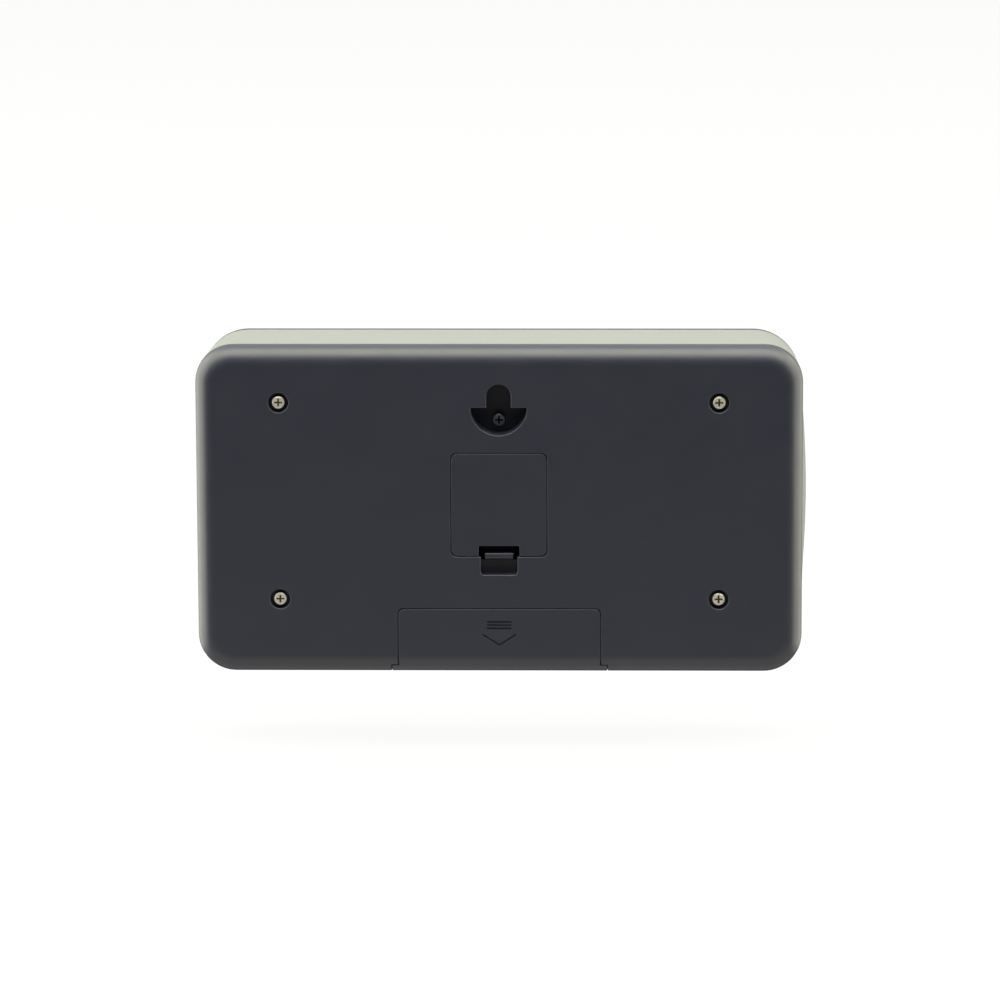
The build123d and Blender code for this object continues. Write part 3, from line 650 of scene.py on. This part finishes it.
def doorway(centre, side, stroke):
    """Doorway seen from above: three bars, closed on one side."""
    centre = Vector(centre)
    wide, tall = 2.2 * MM, 5.0 * MM
    made = [bar(centre + Vector((side * wide / 2, 0, 0)), (stroke, LEGEND, tall))]
    for up in (-1, 1):
        lift = Vector((-side * stroke / 2, 0, up * (tall - stroke) / 2))
        made.append(bar(centre + lift, (wide, LEGEND, stroke)))
    return made


for name in [str(n) for n in range(10)]:
    marks = [lettering(name, key_face(name), 4.6 * MM, LEGEND)]
    if name == "1":
        flag = key_face(name) + Vector((-0.55 * MM, 0, 1.85 * MM))
        marks.append(turned(bar(flag, (1.5 * MM, LEGEND, 0.5 * MM)), flag, -38))
    print_on_key(marks, name, dark_ink, 0)

at = key_face("star")
star = [turned(bar(at, (4.0 * MM, LEGEND, 0.65 * MM)), at, 90 + 60 * turn) for turn in range(3)]
print_on_key(star, "star", dark_ink, BAR_CUTS)

at = key_face("hash")
hash_bars = []
for side in (-1, 1):
    hash_bars.append(bar(at + Vector((0, 0, side * 0.8 * MM)), (4.0 * MM, LEGEND, 0.6 * MM)))
    upright = bar(at + Vector((side * 0.8 * MM, 0, 0)), (0.6 * MM, LEGEND, 4.2 * MM))
    hash_bars.append(turned(upright, at, 8))
print_on_key(hash_bars, "hash", dark_ink, BAR_CUTS)

at = key_face("in")
in_marks = arrow(at - Vector((1.5 * MM, 0, 0)), 5.0 * MM, STROKE, 1)
in_marks += doorway(at + Vector((2.6 * MM, 0, 0)), 1, STROKE)
print_on_key(in_marks, "in", pale_ink, BAR_CUTS)

at = key_face("out")
out_marks = doorway(at - Vector((2.6 * MM, 0, 0)), -1, STROKE)
out_marks += arrow(at + Vector((1.5 * MM, 0, 0)), 5.0 * MM, STROKE, 1)
print_on_key(out_marks, "out", pale_ink, BAR_CUTS)

back_marks = arrow(key_face("back"), 6.0 * MM, STROKE, -1)
print_on_key(back_marks, "back", pale_ink, BAR_CUTS)

at = key_face("menu")
menu_marks = []
for level in (-1, 0, 1):
    menu_marks.append(bar(at + Vector((0, 0, level * 1.5 * MM)), (5.4 * MM, LEGEND, STROKE)))
print_on_key(menu_marks, "menu", pale_ink, BAR_CUTS)


# ---------------------------------------------------------------- studio
def pale_surround(name, glow):
    """Pale matt paint that also gives a little light of its own, so that it stays even."""
    paint = Paint(name)
    speckle = paint.noise(6.0, 3.0, 0.5)
    base = paint.tinted((0.05, 0.05, 0.05), speckle, 0.02)
    light = {"Emission_Color": (1, 1, 1, 1), "Emission_Strength": glow}
    return paint.finish(base, 0.9, Specular_IOR_Level=0.0, **light)


# The floor lies this far below the object, so that the battery door can slide down.
DOOR_DROP = 25 * MM
FLOOR_SIZE, WALL_RADIUS = 30.0, 6.0
SURROUND_GLOW = 0.92
AIM = (cad_low + cad_high) / 2


def plain_stage():
    """Pale floor, and a pale round wall a few metres away."""
    start_clean()
    bpy.ops.mesh.primitive_plane_add(size=FLOOR_SIZE, location=(0, 0, cad_low.z - DOOR_DROP))
    floor = bpy.context.object
    floor.name = "floor"
    start_clean()
    bpy.ops.mesh.primitive_uv_sphere_add(
        segments=64, ring_count=32, radius=WALL_RADIUS, location=(0, 0, 0)
    )
    wall = bpy.context.object
    wall.name = "wall"
    for piece in (floor, wall):
        piece.data.materials.append(pale_surround("pale_" + piece.name, SURROUND_GLOW))
        piece.visible_glossy = False
        piece.visible_diffuse = False
        piece.visible_shadow = False


def soft_light(name, place, size, strength, colour):
    """Large rectangular light that faces the object, as bright as its strength at any size."""
    lamp = bpy.data.lights.new(name, "AREA")
    lamp.shape = "RECTANGLE"
    lamp.size, lamp.size_y = size
    lamp.energy = strength * math.pi * size[0] * size[1]
    lamp.color = colour
    made = bpy.data.objects.new(name, lamp)
    made.location = place
    made.rotation_euler = (AIM - Vector(place)).to_track_quat("-Z", "Y").to_euler()
    made.visible_camera = False
    bpy.context.scene.collection.objects.link(made)


def dim_surroundings():
    """Dim even light from all sides."""
    world = bpy.data.worlds.new("studio")
    world.use_nodes = True
    background = world.node_tree.nodes["Background"]
    background.inputs["Color"].default_value = (0.85, 0.90, 1.0, 1.0)
    background.inputs["Strength"].default_value = 0.04
    bpy.context.scene.world = world


plain_stage()
dim_surroundings()
# Name, place, width and height, brightness and colour of each soft panel. Left and right are as
# seen from behind the object, where the main camera stands.
LIGHTS = (
    ("top_light", (0, 0.25, 1.5), (2.4, 1.5), 4.8, (1.0, 0.98, 0.83)),
    ("left_light", (1.6, -0.35, 0.05), (2.6, 2.0), 3.4, (1.0, 0.99, 0.85)),
    ("right_light", (-1.6, -0.35, 0.05), (2.6, 2.0), 2.7, (1.0, 0.97, 0.78)),
    ("left_corner_light", (1.45, -0.2, 1.25), (2.2, 0.8), 3.6, (1.0, 0.98, 0.81)),
    ("right_corner_light", (-1.45, -0.2, 1.25), (2.2, 0.8), 3.2, (1.0, 0.98, 0.78)),
    ("low_light", (0, 0.36, -0.26), (0.9, 0.30), 0.6, (1.0, 0.90, 0.74)),
    ("under_light", (0, 0.1, -1.5), (3.0, 2.4), 0.6, (1.0, 0.95, 0.86)),
    ("back_light", (0, -2.6, 2.1), (5.0, 2.1), 1.10, (1.0, 0.98, 0.86)),
)
for name, place, size, strength, colour in LIGHTS:
    soft_light(name, place, size, strength, colour)
bpy.context.scene.view_settings.view_transform = "Standard"

# ---------------------------------------------------------------- camera
# Angles in degrees, distance in metres, lens and sensor in millimetres.
AZIMUTH, ELEVATION, ROLL = 181.419, 11.645, 0.2255
DISTANCE = 1.9356
LENS, SENSOR = 216.0, 36.0
TARGET = Vector((-0.373 * MM, REAR_Y - 0.110 * MM, 57.680 * MM))

camera = bpy.data.objects.new("camera", bpy.data.cameras.new("camera"))
bpy.context.scene.collection.objects.link(camera)
camera.data.lens, camera.data.sensor_width = LENS, SENSOR
swing = Matrix.Rotation(math.radians(AZIMUTH), 3, "Z")
tilt = Matrix.Rotation(math.radians(90 - ELEVATION), 3, "X")
roll = Matrix.Rotation(math.radians(-ROLL), 3, "Z")
stance = swing @ tilt @ roll
stand = TARGET + stance @ Vector((0, 0, DISTANCE))
camera.matrix_world = Matrix.Translation(stand) @ stance.to_4x4()
camera.data.clip_start, camera.data.clip_end = 0.05, 50.0
bpy.context.scene.camera = camera
